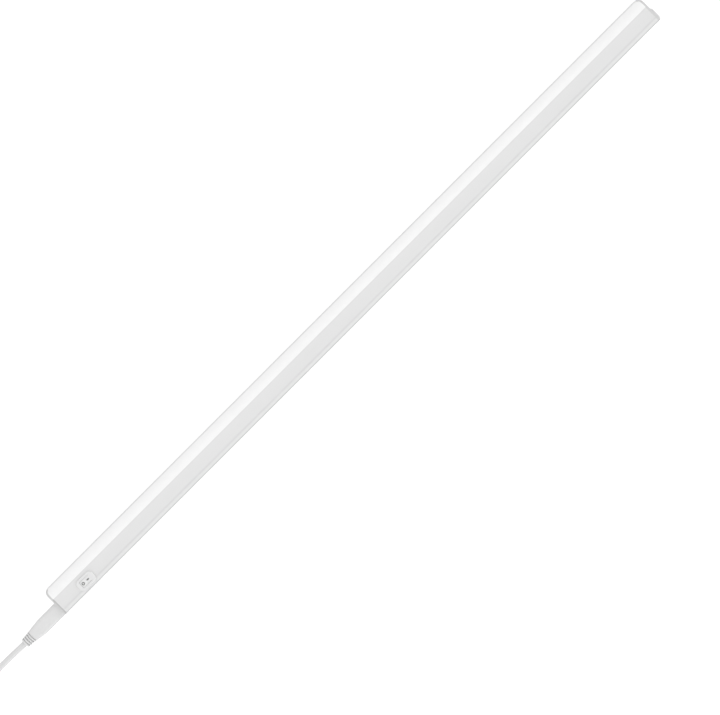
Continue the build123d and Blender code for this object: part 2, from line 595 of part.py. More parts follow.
def through_wire(side):
    """Insulated wire from one inlet pin to the outlet contact behind it."""
    tail = END_X - BLOCK_LENGTH - TAIL_LENGTH
    start, level = (-tail, side * PIN_Y, AXIS_Z), (THROUGH_STUB - tail, side * PIN_Y, AXIS_Z)
    half = [start, level, (THROUGH_DROP - tail, side * THROUGH_Y, THROUGH_Z)]
    return wire(half + [(-x, y, z) for x, y, z in reversed(half)], MAINS_WIRE_R)


def switch_feed_wire():
    """Live wire from the inlet to the switch."""
    blade_x, z = SWITCH_X - TERMINAL_X - TERMINAL_SIZE[0] / 2, TERMINAL_Z
    x = -END_X + BLOCK_LENGTH + PIN_WIRE_X
    up = [(x, PIN_Y, AXIS_Z + PIN_R), (x, PIN_Y, FEED_Z), (x + FEED_RUN, FEED_Y, FEED_Z)]
    return wire(up + [(blade_x - FEED_BACK, FEED_Y, z), (blade_x, FEED_Y, z)], THIN_WIRE_R, 1.0)


def switch_load_wire():
    """Switched live wire from the switch to the driver board."""
    blade_x, z = SWITCH_X + TERMINAL_X + TERMINAL_SIZE[0] / 2, TERMINAL_Z
    land = (DRIVER_X + LOAD_LAND_X, LOAD_LAND_Y)
    across = [(blade_x, LOAD_Y, z), (land[0] - LOAD_BACK, LOAD_Y, z), (*land, z)]
    return wire(across + [(*land, DRIVER_TOP)], THIN_WIRE_R, 1.2)


def neutral_wire():
    """Neutral wire that passes under the switch to the driver board."""
    x, land = -END_X + BLOCK_LENGTH + PIN_WIRE_X, (DRIVER_X + NEUTRAL_LAND_X, NEUTRAL_LAND_Y)
    back = land[0] - NEUTRAL_BACK
    down = [(x, -PIN_Y, AXIS_Z - PIN_R), (x, -PIN_Y, NEUTRAL_Z), (back, NEUTRAL_Y, NEUTRAL_Z)]
    rise = [(back, NEUTRAL_Y, NEUTRAL_RISE_Z), (*land, NEUTRAL_RISE_Z), (*land, DRIVER_TOP)]
    return wire(down + rise, THIN_WIRE_R, 1.0)


def led_wires():
    """Two wires from the driver board up through the LED board."""
    x, z = DRIVER_X + DRIVER_LENGTH - LED_WIRE_INSET, DRIVER_TOP + LED_WIRE_LIFT
    top = LEDGE_TOP + BOARD_THICK + LED_WIRE_END
    made = []
    for y in (-LED_WIRE_Y, LED_WIRE_Y):
        route = [(x, y, DRIVER_TOP), (x, y, z), (LED_WIRE_X, y, z), (LED_WIRE_X, y, top)]
        made.append(wire(route, LED_WIRE_R))
    return made


def cord_tube(route):
    """Free cord along its route, with each bend as wide as its two runs allow."""
    points = [Vector(*point) for point in route]
    runs = [b - a for a, b in zip(points, points[1:])]
    radii = []
    for before, after in zip(runs, runs[1:]):
        turn = math.radians(before.get_angle(after))
        radii.append(0.45 * min(before.length, after.length) / math.tan(turn / 2))
    path = FilletPolyline(*points, radius=radii)
    start = Plane(origin=path @ 0, z_dir=path % 0)
    tube = sweep(start * Circle(CORD_D / 2), path=path)
    swept = path.length * math.pi * CORD_D**2 / 4
    print("cord runs", [round(run.length, 1) for run in runs], "radii", [round(r) for r in radii])
    print("cord length", round(path.length, 1), "volume over section times length", tube.volume / swept)
    return tube, path.length


def cord_hank():
    """Outer shape of the folded and tied part of the lead."""
    outer = SlotCenterToCenter(HANK_STRAIGHT, 2 * (FOLD_R + (HANK_LANES - 0.5) * CORD_D))
    inner = SlotCenterToCenter(HANK_STRAIGHT, 2 * FOLD_R - CORD_D)
    ring = extrude(outer - inner, amount=HANK_TOP - HANK_FLOOR)
    return Pos(HANK_X, HANK_Y, HANK_FLOOR) * ring


def hank_tie():
    """Strap round the middle of the hank."""
    half = FOLD_R + (HANK_LANES - 0.5) * CORD_D
    inside = strip((HANK_Y - half, HANK_Y + half), (HANK_FLOOR, HANK_TOP))
    low, high = HANK_FLOOR - TIE_THICK, HANK_TOP + TIE_THICK
    outside = strip((HANK_Y - half - TIE_THICK, HANK_Y + half + TIE_THICK), (low, high))
    return along_x(outside - inside, HANK_X - TIE_WIDTH / 2, HANK_X + TIE_WIDTH / 2)


def plug_place():
    """Where the mains plug's boot starts, facing along -X."""
    return Pos(*TAIL_ROUTE[-1]) * Rot(0, 0, 180)


def mains_plug_boot():
    """Flexible boot on the mains plug."""
    boot = ringed_boot(PLUG_BOOT_LENGTH, PLUG_BOOT_R1, PLUG_BOOT_R0, CORD_D / 2 + 0.6, PLUG_BOOT_RINGS)
    return plug_place() * boot


def mains_plug_body():
    """Flat two-pin plug body: a narrow neck that widens to the pin face."""
    neck, wide, end = PLUG_NECK / 2, PLUG_WIDTH / 2, PLUG_LENGTH
    upper = Spline((0, neck), (0.35 * end, 0.72 * wide), (0.8 * end, wide), tangents=((1, 0), (1, 0)))
    side = Polyline((0.8 * end, wide), (end, 0.9 * wide), (end, 0))
    half = make_face(upper + side + Polyline((end, 0), (0, 0), (0, neck)))
    plan = half + mirror(half, Plane.XZ)
    body = Pos(0, 0, -PLUG_THICK / 2) * extrude(plan, amount=PLUG_THICK)
    long_edges = body.faces().sort_by(Axis.Z)[-1].edges() + body.faces().sort_by(Axis.Z)[0].edges()
    body = fillet(long_edges, 2.2)
    return plug_place() * Pos(PLUG_BOOT_LENGTH, 0, 0) * body


def mains_plug_pins():
    """Two round pins with domed tips."""
    pin = Rot(0, 90, 0) * Cylinder(PLUG_PIN_R, PLUG_PIN_LENGTH, align=(Align.CENTER, Align.CENTER, Align.MIN))
    pin = fillet(pin.faces().sort_by(Axis.X)[-1].edges(), 0.9 * PLUG_PIN_R)
    reach = PLUG_BOOT_LENGTH + PLUG_LENGTH
    return [plug_place() * Pos(reach, y, 0) * pin for y in (-PLUG_PIN_SPACING / 2, PLUG_PIN_SPACING / 2)]


def save(name, shape):
    """Write one node; a list becomes a group of separate solids."""
    made = Compound(children=list(shape)) if isinstance(shape, (list, tuple)) else shape
    export_step(made, f"parts/{name}.step")


def main():
    """Build every node and write it out."""
    os.makedirs("parts", exist_ok=True)
    package, phosphor = led_package()
    core, winding = inductor()
    frame, bobbin = transformer()
    cord, cord_run = cord_tube(CORD_ROUTE)
    tail, tail_run = cord_tube(TAIL_ROUTE)
    print("length left for the hank", round(CORD_LENGTH - cord_run - tail_run))
    nodes = {
        "channel_base": channel_base(),
        "channel_switch_wall": switch_wall(),
        "channel_plain_wall": channel_wall(1),
        "diffuser_cover": cover(),
        "led_board": led_board(),
        "led_packages": [place * package for place in led_places()],
        "led_phosphor": [place * phosphor for place in led_places()],
        "driver_board": driver_board(),
        "driver_posts": driver_posts(),
        "driver_screws": driver_screws(),
        "bulk_capacitor": bulk_capacitor(),
        "output_capacitor": output_capacitor(),
        "film_capacitor": film_capacitor(),
        "inductor_core": core,
        "inductor_winding": winding,
        "transformer_core": frame,
        "transformer_bobbin": bobbin,
        "bridge_rectifier": bridge_rectifier(),
        "driver_chip": driver_chip(),
        "fuse_resistor": fuse_resistor(),
        "chip_resistors": chip_resistors(),
        "switch_bezel": switch_bezel(),
        "switch_body": switch_body(),
        "switch_rocker": rocker(),
        "rocker_pin": rocker_pin(),
        "switch_terminals": switch_terminals(),
        "inlet_end_cap": end_cap(-1),
        "outlet_end_cap": end_cap(1),
        "end_cap_screws": end_screws(),
        "inlet_socket": inlet_socket(),
        "inlet_pins": inlet_pins(),
        "outlet_socket": outlet_socket(),
        "outlet_contacts": outlet_contacts(),
        "outlet_blanking_cap": outlet_cap(),
        "live_through_wire": through_wire(1),
        "neutral_through_wire": through_wire(-1),
        "switch_feed_wire": switch_feed_wire(),
        "switch_load_wire": switch_load_wire(),
        "driver_neutral_wire": neutral_wire(),
        "led_wires": led_wires(),
        "connector_body": connector_body(),
        "connector_contacts": connector_contacts(),
        "connector_strain_relief": strain_relief(),
        "mains_cord": cord,
        "cord_hank": cord_hank(),
        "cord_tail": tail,
        "hank_tie": hank_tie(),
        "mains_plug_boot": mains_plug_boot(),
        "mains_plug_body": mains_plug_body(),
        "mains_plug_pins": mains_plug_pins(),
    }
    for name, shape in nodes.items():
        save(name, shape)


main()
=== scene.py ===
"""Looks of a slim linkable LED light tube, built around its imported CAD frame.

Metres throughout, in the frame's own axes: +X along the lamp from the lead to the outlet,
-Y out of the side with the switch, +Z from the mounting face to the top of the cover.
"""

import logging
import math
from dataclasses import dataclass, field
from enum import Enum
from typing import Any, Sequence

import bmesh
import bpy
from mathutils import Matrix, Vector

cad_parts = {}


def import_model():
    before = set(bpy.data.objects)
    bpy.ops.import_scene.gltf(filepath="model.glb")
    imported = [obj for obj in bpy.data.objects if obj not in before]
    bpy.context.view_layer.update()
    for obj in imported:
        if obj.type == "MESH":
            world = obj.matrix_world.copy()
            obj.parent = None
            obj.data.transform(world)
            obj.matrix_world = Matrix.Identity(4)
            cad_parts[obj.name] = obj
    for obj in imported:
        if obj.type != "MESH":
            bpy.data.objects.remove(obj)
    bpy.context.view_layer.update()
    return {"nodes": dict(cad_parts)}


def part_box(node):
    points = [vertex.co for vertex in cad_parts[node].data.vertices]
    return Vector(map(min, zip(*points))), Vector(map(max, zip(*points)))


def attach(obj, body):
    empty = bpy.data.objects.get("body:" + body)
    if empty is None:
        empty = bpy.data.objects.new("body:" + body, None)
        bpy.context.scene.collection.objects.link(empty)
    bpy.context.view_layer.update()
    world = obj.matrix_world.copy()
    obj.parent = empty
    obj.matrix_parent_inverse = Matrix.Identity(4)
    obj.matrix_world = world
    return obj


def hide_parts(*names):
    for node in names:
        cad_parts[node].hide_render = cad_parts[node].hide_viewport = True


log = logging.getLogger("light_tube")

Point = tuple[float, float, float]
Colour = tuple[float, float, float]

CORD_D = 0.0062
NOISE_ROUGHNESS = 0.55


class Body(str, Enum):
    """Bodies that the added pieces ride on."""

    LAMP = "lamp"
    ROCKER = "rocker"
    LEAD = "lead"


# ---------------------------------------------------------------- shader helpers


class Value:
    """A shader socket that takes part in Python arithmetic."""

    def __init__(self, nodes: "NodeMaker", socket: bpy.types.NodeSocket) -> None:
        """Wrap one output socket.

        Args:
            nodes: Maker that adds the Math nodes.
            socket: Output socket that carries the value.
        """
        self.nodes = nodes
        self.socket = socket

    def _math(self, operation: str, *values: "Value | float") -> "Value":
        """Add one Math node.

        Args:
            operation: Name of the Math operation.
            values: Its inputs in order.

        Returns:
            The node's result.
        """
        return self.nodes.add("ShaderNodeMath", {"operation": operation}, dict(enumerate(values)))

    def __add__(self, other: "Value | float") -> "Value":
        """Sum."""
        return self._math("ADD", self, other)

    def __sub__(self, other: "Value | float") -> "Value":
        """Difference."""
        return self._math("SUBTRACT", self, other)

    def __mul__(self, other: "Value | float") -> "Value":
        """Product."""
        return self._math("MULTIPLY", self, other)

    def __rsub__(self, other: float) -> "Value":
        """Difference with a number on the left."""
        return self._math("SUBTRACT", other, self)

    __radd__ = __add__
    __rmul__ = __mul__

    def __abs__(self) -> "Value":
        """Size without sign."""
        return self._math("ABSOLUTE", self)

    def at_least(self, limit: float) -> "Value":
        """The larger of the value and a limit."""
        return self._math("MAXIMUM", self, limit)

    def root(self) -> "Value":
        """Square root."""
        return self._math("SQRT", self)

    def below(self, limit: float, soft: float) -> "Value":
        """Mask that is 1 below a limit and fades to 0 over a soft edge.

        Args:
            limit: Value at which the mask starts to fall.
            soft: Width of the fade.

        Returns:
            The mask.
        """
        sockets = {"Value": self, "From Min": limit, "From Max": limit + soft, "To Min": 1.0, "To Max": 0.0}
        return self.nodes.add("ShaderNodeMapRange", {"clamp": True}, sockets)


class NodeMaker:
    """Adds nodes to one material's or world's tree."""

    def __init__(self, tree: bpy.types.NodeTree) -> None:
        """Start with the tree emptied."""
        self.tree = tree
        tree.nodes.clear()

    def add(self, kind: str, settings: dict[str, Any], sockets: dict[Any, Any], out: Any = 0) -> Value:
        """Add one node.

        Args:
            kind: Node type.
            settings: Properties of the node, set first. A list of (place, colour) pairs
                named "stops" fills a colour ramp.
            sockets: Input name or number, and its value or link.
            out: Name or number of the output that is wanted.

        Returns:
            That output.
        """
        node = self.tree.nodes.new(kind)
        for name, value in settings.items():
            if name == "stops":
                self._fill_ramp(node.color_ramp, value)
            else:
                setattr(node, name, value)
        for key, value in sockets.items():
            if isinstance(value, Value):
                self.tree.links.new(value.socket, node.inputs[key])
            else:
                node.inputs[key].default_value = value
        return Value(self, node.outputs[out]) if len(node.outputs) else Value(self, None)

    @staticmethod
    def _fill_ramp(ramp: bpy.types.ColorRamp, stops: Sequence[tuple[float, Colour]]) -> None:
        """Set a ramp's stops.

        Args:
            ramp: Colour ramp.
            stops: Place and colour of each stop.
        """
        while len(ramp.elements) < len(stops):
            ramp.elements.new(1.0)
        for element, (place, colour) in zip(ramp.elements, stops, strict=True):
            element.position = place
            element.color = (*colour, 1.0)

    def place(self, scale: Point = (1.0, 1.0, 1.0)) -> Value:
        """Object coordinates, stretched.

        Args:
            scale: Factor on each axis.

        Returns:
            The scaled coordinates.
        """
        at = self.add("ShaderNodeTexCoord", {}, {}, "Object")
        return self.add("ShaderNodeMapping", {}, {"Vector": at, "Scale": scale})

    def axis(self, name: str) -> Value:
        """One object coordinate in metres."""
        at = self.add("ShaderNodeTexCoord", {}, {}, "Object")
        return self.add("ShaderNodeSeparateXYZ", {}, {"Vector": at}, name)

    def noise(self, scale: float, detail: float = 3.0, stretch: Point = (1.0, 1.0, 1.0)) -> Value:
        """Fractal noise from 0 to 1.

        Args:
            scale: Repeats per metre.
            detail: Octaves.
            stretch: Factor on each axis.

        Returns:
            The noise value.
        """
        at = self.place(stretch)
        sockets = {"Vector": at, "Scale": scale, "Detail": detail, "Roughness": NOISE_ROUGHNESS}
        return self.add("ShaderNodeTexNoise", {}, sockets, "Fac")

    def blend(self, factor: Value, first: Any, second: Any) -> Value:
        """Mix two colours.

        Args:
            factor: Share of the second.
            first: Colour or link.
            second: Colour or link.

        Returns:
            The mixed colour.
        """
        node = self.tree.nodes.new("ShaderNodeMix")
        node.data_type = "RGBA"
        self.tree.links.new(factor.socket, node.inputs["Factor"])
        for key, value in ((6, first), (7, second)):
            if isinstance(value, Value):
                self.tree.links.new(value.socket, node.inputs[key])
            else:
                node.inputs[key].default_value = (*value, 1.0)
        return Value(self, node.outputs[2])

    def bump(self, height: Value, depth: float, strength: float) -> Value:
        """Surface relief.

        Args:
            height: Height pattern from 0 to 1.
            depth: What 1 stands for, in metres.
            strength: Share of it that shows.

        Returns:
            The bent normal.
        """
        return self.add("ShaderNodeBump", {}, {"Height": height, "Distance": depth, "Strength": strength})


def shaded(colour: Colour, factor: float) -> Colour:
    """A colour made lighter or darker by a factor."""
    return tuple(min(1.0, channel * factor) for channel in colour)


# ---------------------------------------------------------------- finishes


@dataclass(frozen=True)
class Finish:
    """Base of every finish: one Principled surface with patterns from object coordinates."""

    name: str
    colour: Colour
    roughness: float = 0.45

    def patterns(self, nodes: NodeMaker) -> dict[str, Any]:
        """Sockets of the surface.

        Args:
            nodes: Maker for the material's tree.

        Returns:
            Socket name and its value or link.
        """
        tone = nodes.noise(60.0)
        return {"Base Color": nodes.blend(tone, shaded(self.colour, 0.95), shaded(self.colour, 1.03))}

    def make(self) -> bpy.types.Material:
        """Build the material once and return it."""
        name = "look_" + self.name
        found = bpy.data.materials.get(name)
        if found:
            return found
        material = bpy.data.materials.new(name)
        material.use_nodes = True
        nodes = NodeMaker(material.node_tree)
        sockets = {"Roughness": self.roughness, **self.patterns(nodes)}
        surface = nodes.add("ShaderNodeBsdfPrincipled", {}, sockets)
        nodes.add("ShaderNodeOutputMaterial", {}, {"Surface": surface})
        return material


@dataclass(frozen=True)
class MouldedPlastic(Finish):
    """Injection-moulded plastic: fine spark-eroded grain, faint flow marks and rubbed spots."""

    grain: float = 2600.0
    depth: float = 0.00004
    shine: float = 0.06

    def patterns(self, nodes: NodeMaker) -> dict[str, Any]:
        """Sockets of the surface, as in Finish."""
        cloud, flow = nodes.noise(45.0, 4.0), nodes.noise(18.0, 2.0, (1.0, 3.0, 3.0))
        variation = nodes.noise(160.0, 6.0)
        tone = cloud * 0.6 + flow * 0.4
        colour = nodes.blend(tone, shaded(self.colour, 0.97), shaded(self.colour, 1.02))
        grain = nodes.noise(self.grain, 2.0)
        return {
            "Base Color": colour,
            "Roughness": self.roughness + self.shine * (variation - 0.5) * 2.0,
            "Normal": nodes.bump(grain, self.depth, 0.35),
        }


@dataclass(frozen=True)
class EndCapPlastic(MouldedPlastic):
    """End cap: light grey plate with a paler lip, and a hood as white as the cover beside it. On the inlet
    cap the plate's darker grey is partly painted shade of the gap at the connector.
    """

    seam_z: float = 0.02
    end_x: float = 0.4365
    top_z: float = 0.0326
    corner: float = 0.005
    lip: float = 0.0009
    band: float = 0.0021
    # Default plate grey, used by the inlet cap: partly the plate's own grey, partly painted shade of the gap
    # between the connector and the cap.
    plate: Colour = (0.5, 0.5, 0.5)
    rim: Colour = (0.64, 0.64, 0.64)

    def patterns(self, nodes: NodeMaker) -> dict[str, Any]:
        """Sockets of the surface, as in Finish."""
        made = super().patterns(nodes)
        along, height = abs(nodes.axis("X")), nodes.axis("Z")
        low = height.below(self.seam_z, 0.0001)
        out = (along - (self.end_x - self.corner)).at_least(0.0)
        up = (height - (self.top_z - self.corner)).at_least(0.0)
        inside = (self.corner - (out * out + up * up).root()).below(self.band, 0.0004)
        inside = inside * (0.002 - out).below(0.0008, 0.0008)
        lip = (self.end_x - along).below(self.lip, 0.0003)
        variation = nodes.noise(45.0, 4.0)
        pale = nodes.blend(variation, shaded(self.rim, 0.96), shaded(self.rim, 1.04))
        grey = nodes.blend(lip, nodes.blend(variation, shaded(self.plate, 0.95), shaded(self.plate, 1.04)), pale)
        made["Base Color"] = nodes.blend(low, nodes.blend(inside, made["Base Color"], pale), grey)
        return made


@dataclass(frozen=True)
class ExtrudedPlastic(Finish):
    """Extruded white channel: fine die lines along the length, painted shade in its seam, its groove and
    along its foot, and a paler strip just above the foot.
    """

    seam_z: float = 0.02
    groove_z: float = 0.0053
    foot_z: float = 0.0009
    pale_strip_z: float = 0.003

    def patterns(self, nodes: NodeMaker) -> dict[str, Any]:
        """Sockets of the surface, as in Finish."""
        cloud = nodes.noise(30.0, 4.0, (0.5, 1.0, 1.0))
        lines = nodes.noise(900.0, 2.0, (0.004, 1.0, 1.0))
        height = nodes.axis("Z")
        seam = abs(height - self.seam_z).below(0.00012, 0.0005)
        groove = abs(height - self.groove_z).below(0.0003, 0.0004)
        foot = height.below(self.foot_z, 0.0008)
        # Painted shade: the colour darkens in the seam under the cover, in the groove and most along the foot
        # at the floor, broken up by noise.
        painted_shade = (seam * 0.3 + groove * 0.2 + foot * 0.8) * (nodes.noise(220.0, 4.0) * 0.5 + 0.7)
        base_tone = nodes.blend(cloud * 0.5 + lines * 0.5, shaded(self.colour, 0.975), shaded(self.colour, 1.02))
        # A paler strip along the side just above the foot, lighter than the rest of the channel.
        variation = abs(height - self.pale_strip_z).below(0.0005, 0.0005) * 0.7
        base_tone = nodes.blend(variation, base_tone, shaded(self.colour, 1.05))
        colour = nodes.blend(painted_shade, base_tone, shaded(self.colour, 0.8))
        return {
            "Base Color": colour,
            "Roughness": self.roughness + 0.12 * (lines - 0.5) + 0.08 * (cloud - 0.5),
            "Normal": nodes.bump(lines, 0.00003, 0.3),
        }


@dataclass(frozen=True)
class OpalCover(Finish):
    """Frosted opal cover: fine frosting, faint die lines and painted shade along its crown."""

    crown_z: float = 0.0312
    crown_soft: float = 0.0009

    def patterns(self, nodes: NodeMaker) -> dict[str, Any]:
        """Sockets of the surface, as in Finish."""
        frost = nodes.noise(3200.0, 2.0)
        lines = nodes.noise(700.0, 2.0, (0.003, 1.0, 1.0))
        cloud = nodes.noise(24.0, 3.0, (0.5, 1.0, 1.0))
        tone = cloud * 0.6 + lines * 0.4
        base_tone = nodes.blend(tone, shaded(self.colour, 0.985), shaded(self.colour, 1.01))
        # Painted shade: the colour turns darker above crown_z, along the top edge of the crown.
        painted_shade = 1.0 - nodes.axis("Z").below(self.crown_z, self.crown_soft)
        return {
            "Base Color": nodes.blend(painted_shade, base_tone, shaded(self.colour, 0.89)),
            "Roughness": self.roughness + 0.1 * (cloud - 0.5) + 0.06 * (frost - 0.5),
            "Normal": nodes.bump(frost + lines * 0.5, 0.00002, 0.3),
            "Subsurface Weight": 0.12,
            "Subsurface Radius": (1.0, 1.0, 1.0),
            "Subsurface Scale": 0.0012,
        }


@dataclass(frozen=True)
class CordSheath(Finish):
    """Flexible PVC sheath: slightly uneven, with scuffs."""

    def patterns(self, nodes: NodeMaker) -> dict[str, Any]:
        """Sockets of the surface, as in Finish."""
        cloud, scuff = nodes.noise(70.0, 4.0), nodes.noise(420.0, 6.0)
        colour = nodes.blend(cloud, shaded(self.colour, 0.96), shaded(self.colour, 1.03))
        return {
            "Base Color": colour,
            "Roughness": self.roughness + 0.16 * (scuff - 0.5),
            "Normal": nodes.bump(cloud * 0.7 + scuff * 0.3, 0.00012, 0.3),
        }


@dataclass(frozen=True)
class Metal(Finish):
    """Plated or bare metal with fine drawn lines and dulled spots."""

    def patterns(self, nodes: NodeMaker) -> dict[str, Any]:
        """Sockets of the surface, as in Finish."""
        drawn, dull = nodes.noise(1500.0, 3.0, (0.05, 1.0, 1.0)), nodes.noise(140.0, 5.0)
        return {
            "Base Color": nodes.blend(dull, shaded(self.colour, 0.86), shaded(self.colour, 1.05)),
            "Metallic": 1.0,
            "Roughness": self.roughness + 0.18 * (drawn - 0.5) + 0.12 * (dull - 0.5),
            "Normal": nodes.bump(drawn, 0.00002, 0.3),
        }


@dataclass(frozen=True)
class WovenStrap(Finish):
    """Woven strap with a fuzzy pile."""

    def patterns(self, nodes: NodeMaker) -> dict[str, Any]:
        """Sockets of the surface, as in Finish."""
        ribs = nodes.add(
            "ShaderNodeTexWave",
            {"wave_type": "BANDS", "bands_direction": "X"},
            {"Vector": nodes.place(), "Scale": 420.0, "Distortion": 0.6},
            "Fac",
        )
        pile = nodes.noise(2400.0, 3.0)
        tone = ribs * 0.5 + pile * 0.5
        return {
            "Base Color": nodes.blend(tone, shaded(self.colour, 0.6), shaded(self.colour, 1.5)),
            "Roughness": self.roughness + 0.1 * (pile - 0.5),
            "Normal": nodes.bump(ribs * 0.6 + pile * 0.4, 0.00025, 0.6),
            "Sheen Weight": 0.3,
        }


@dataclass(frozen=True)
class BareFloor(Finish):
    """Plain pale studio floor without gloss."""

    glow: float = 0.36

    def patterns(self, nodes: NodeMaker) -> dict[str, Any]:
        """Sockets of the surface, as in Finish."""
        cloud = nodes.noise(2.0, 2.0)
        return {
            "Base Color": nodes.blend(cloud, shaded(self.colour, 0.995), self.colour),
            "Specular IOR Level": 0.0,
            "Emission Color": (1.0, 1.0, 1.0, 1.0),
            "Emission Strength": self.glow,
        }


CHANNEL = ExtrudedPlastic("channel_white", (0.745, 0.745, 0.745), 0.42)
COVER = OpalCover("cover_opal", (0.93, 0.93, 0.93), 0.34)
# Inlet cap: its darker plate grey is partly painted shade of the gap at the connector.
INLET_CAP = EndCapPlastic("inlet_cap_two_tone_painted_shade", (0.93, 0.93, 0.93), 0.38)
OUTLET_CAP = EndCapPlastic("outlet_cap_two_tone", (0.93, 0.93, 0.93), 0.38, plate=(0.64, 0.64, 0.64))
SWITCH = MouldedPlastic("switch_white", (0.77, 0.77, 0.77), 0.34, 3200.0, 0.00002)
ROCKER = MouldedPlastic("rocker_white", (0.78, 0.78, 0.78), 0.28, 3600.0, 0.00001)
MARK = MouldedPlastic("mark_dark_grey", (0.012, 0.012, 0.013), 0.5)
SOCKET = MouldedPlastic("socket_white", (0.74, 0.74, 0.74), 0.4)
CONNECTOR = MouldedPlastic("connector_white", (0.73, 0.73, 0.73), 0.4, 2200.0, 0.00005)
SHEATH = CordSheath("cord_white", (0.72, 0.72, 0.72), 0.4)
PLUG = MouldedPlastic("plug_white", (0.78, 0.78, 0.78), 0.34, 2200.0, 0.00004)
STRAP = WovenStrap("strap_black", (0.03, 0.03, 0.032), 0.85)
STEEL = Metal("zinc_steel", (0.62, 0.62, 0.64), 0.36)
BRASS = Metal("bright_brass", (0.78, 0.6, 0.28), 0.3)
NICKEL = Metal("nickel_plate", (0.72, 0.7, 0.66), 0.2)
COPPER = Metal("enamelled_copper", (0.72, 0.32, 0.14), 0.3)
BOARD_WHITE = MouldedPlastic("board_white", (0.85, 0.85, 0.83), 0.5)
BOARD_GREEN = MouldedPlastic("board_green", (0.03, 0.2, 0.07), 0.35)
PACKAGE = MouldedPlastic("led_package_white", (0.88, 0.88, 0.86), 0.4)
PHOSPHOR = MouldedPlastic("phosphor_yellow", (0.9, 0.66, 0.12), 0.25)
CAN = MouldedPlastic("can_sleeve", (0.05, 0.055, 0.07), 0.3)
FILM = MouldedPlastic("film_box_yellow", (0.72, 0.5, 0.07), 0.4)
FERRITE = MouldedPlastic("ferrite_grey", (0.06, 0.06, 0.065), 0.6)
TAPE = MouldedPlastic("winding_tape", (0.82, 0.66, 0.1), 0.25)
EPOXY = MouldedPlastic("black_epoxy", (0.025, 0.025, 0.027), 0.5)
LACQUER = MouldedPlastic("resistor_lacquer", (0.16, 0.42, 0.46), 0.35)
WIRE_BROWN = CordSheath("wire_brown", (0.16, 0.06, 0.025), 0.4)
WIRE_BLUE = CordSheath("wire_blue", (0.03, 0.12, 0.5), 0.4)
WIRE_RED = CordSheath("wire_red", (0.55, 0.02, 0.02), 0.4)
FLOOR = BareFloor("studio_floor", (0.97, 0.97, 0.97), 1.0)

NODE_FINISHES: dict[Finish, tuple[str, ...]] = {
    CHANNEL: ("channel_base", "channel_switch_wall", "channel_plain_wall"),
    COVER: ("diffuser_cover",),
    INLET_CAP: ("inlet_end_cap",),
    OUTLET_CAP: ("outlet_end_cap",),
    SWITCH: ("switch_bezel", "switch_body"),
    ROCKER: ("switch_rocker",),
    SOCKET: ("inlet_socket", "outlet_socket", "outlet_blanking_cap", "driver_posts"),
    CONNECTOR: ("connector_body",),
    PLUG: ("mains_plug_body",),
    SHEATH: ("connector_strain_relief", "mains_plug_boot"),
    STEEL: ("end_cap_screws", "driver_screws", "rocker_pin"),
    BRASS: ("switch_terminals", "inlet_pins", "outlet_contacts", "connector_contacts"),
    NICKEL: ("mains_plug_pins",),
    COPPER: ("inductor_winding",),
    BOARD_WHITE: ("led_board",),
    BOARD_GREEN: ("driver_board",),
    PACKAGE: ("led_packages",),
    PHOSPHOR: ("led_phosphor",),
    CAN: ("bulk_capacitor", "output_capacitor"),
    FILM: ("film_capacitor",),
    FERRITE: ("inductor_core", "transformer_core"),
    TAPE: ("transformer_bobbin",),
    EPOXY: ("bridge_rectifier", "driver_chip", "chip_resistors"),
    LACQUER: ("fuse_resistor",),
    WIRE_BROWN: ("live_through_wire", "switch_feed_wire", "switch_load_wire"),
    WIRE_BLUE: ("neutral_through_wire", "driver_neutral_wire"),
    WIRE_RED: ("led_wires",),
}


def dress(piece: bpy.types.Object, finish: Finish) -> None:
    """Give a piece one finish in place of whatever it has."""
    piece.data.materials.clear()
    piece.data.materials.append(finish.make())


def add_object(name: str, data: Any) -> bpy.types.Object:
    """Put new data into the scene as an object at the origin."""
    piece = bpy.data.objects.new(name, data)
    bpy.context.scene.collection.objects.link(piece)
    return piece


def mesh_object(name: str, build: bmesh.types.BMesh, smooth: bool = True) -> bpy.types.Object:
    """Turn a bmesh into an object with outward faces.

    Args:
        name: Name of the piece.
        build: The bmesh, freed afterwards.
        smooth: Whether faces are shaded smooth.

    Returns:
        The new object.
    """
    bmesh.ops.remove_doubles(build, verts=build.verts, dist=1e-7)
    bmesh.ops.recalc_face_normals(build, faces=build.faces)
    for face in build.faces:
        face.smooth = smooth
    data = bpy.data.meshes.new(name)
    build.to_mesh(data)
    build.free()
    return add_object(name, data)


# ---------------------------------------------------------------- studio


